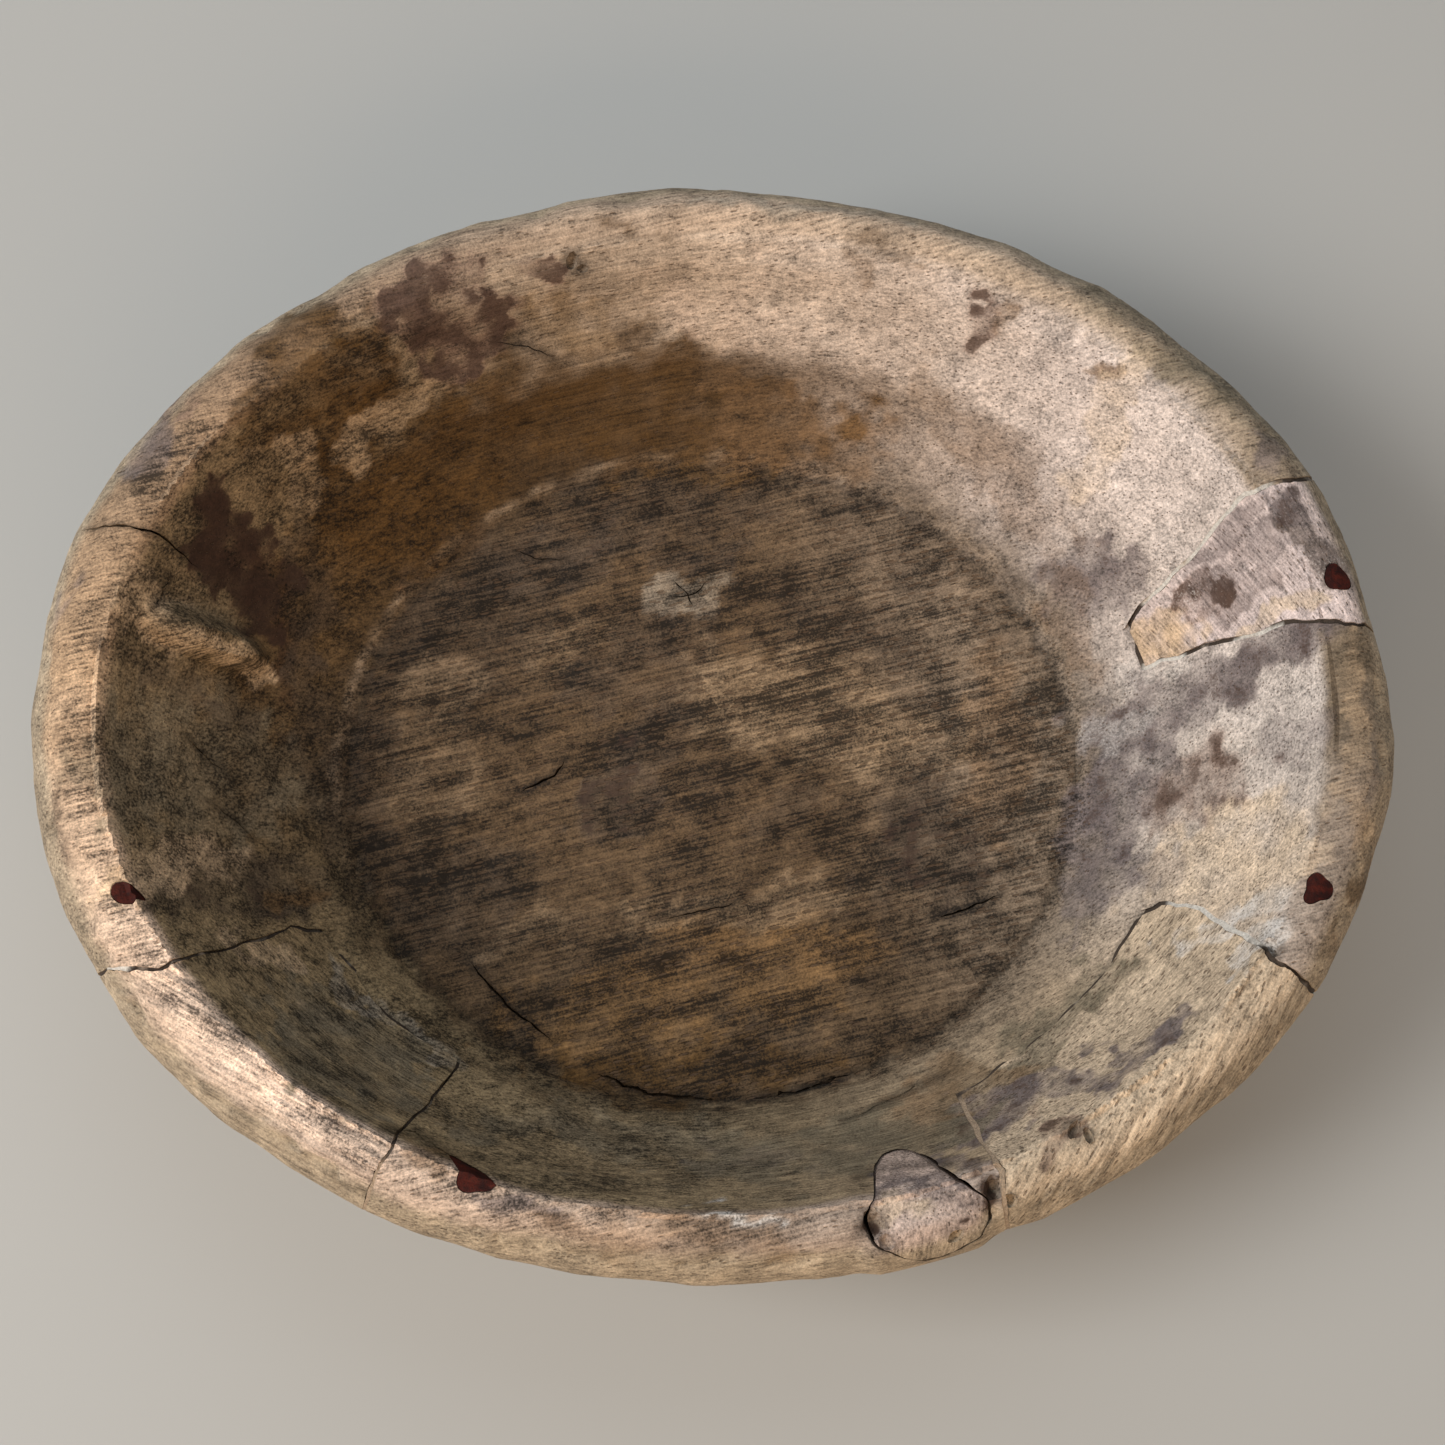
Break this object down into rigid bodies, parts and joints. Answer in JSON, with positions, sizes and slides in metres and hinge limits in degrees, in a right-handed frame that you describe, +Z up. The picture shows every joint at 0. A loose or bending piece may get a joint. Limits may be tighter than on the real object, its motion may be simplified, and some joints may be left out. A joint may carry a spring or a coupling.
{
  "type": "carved wooden bowl",
  "caption": "Oval hand-carved wooden bowl with a thick uneven rim, mended with let-in pieces of wood, pale filler and dark pegs.",
  "frame": {"origin": "middle of the flat foot, on the surface the bowl stands on", "axes": "+X along the bowl's long axis, towards the side with the let-in wedge; +Y across it, towards the thin side of the rim; +Z up, out of the mouth"},
  "size_m": [0.3706, 0.3064, 0.086],
  "materials": {
    "body_wood": "carved bare wood, worn and stained, mottled tan to dark brown",
    "wedge_wood": "bare wood with a purple-grey weathered face",
    "southeast_wood": "bare pale tan wood with short dark pores and grey stain",
    "southwest_wood": "bare grey-brown wood with rough parallel tool grooves",
    "knot_wood": "pinkish-grey knot wood with dark red bark",
    "peg_wood": "dark red-brown end grain, flush with the rim",
    "filler": "chalky off-white filler"
  },
  "bodies": {
    "root": {"bowl_body": "body_wood", "wedge_patch": "wedge_wood", "southeast_rim_segment": "southeast_wood", "southwest_rim_segment": "southwest_wood", "knot_plug": "knot_wood", "wedge_peg": "peg_wood", "west_peg": "peg_wood", "southwest_peg": "peg_wood", "east_peg": "peg_wood", "wedge_filler": "filler", "southeast_filler": "filler", "southwest_filler": "filler"}
  },
  "joints": []
}
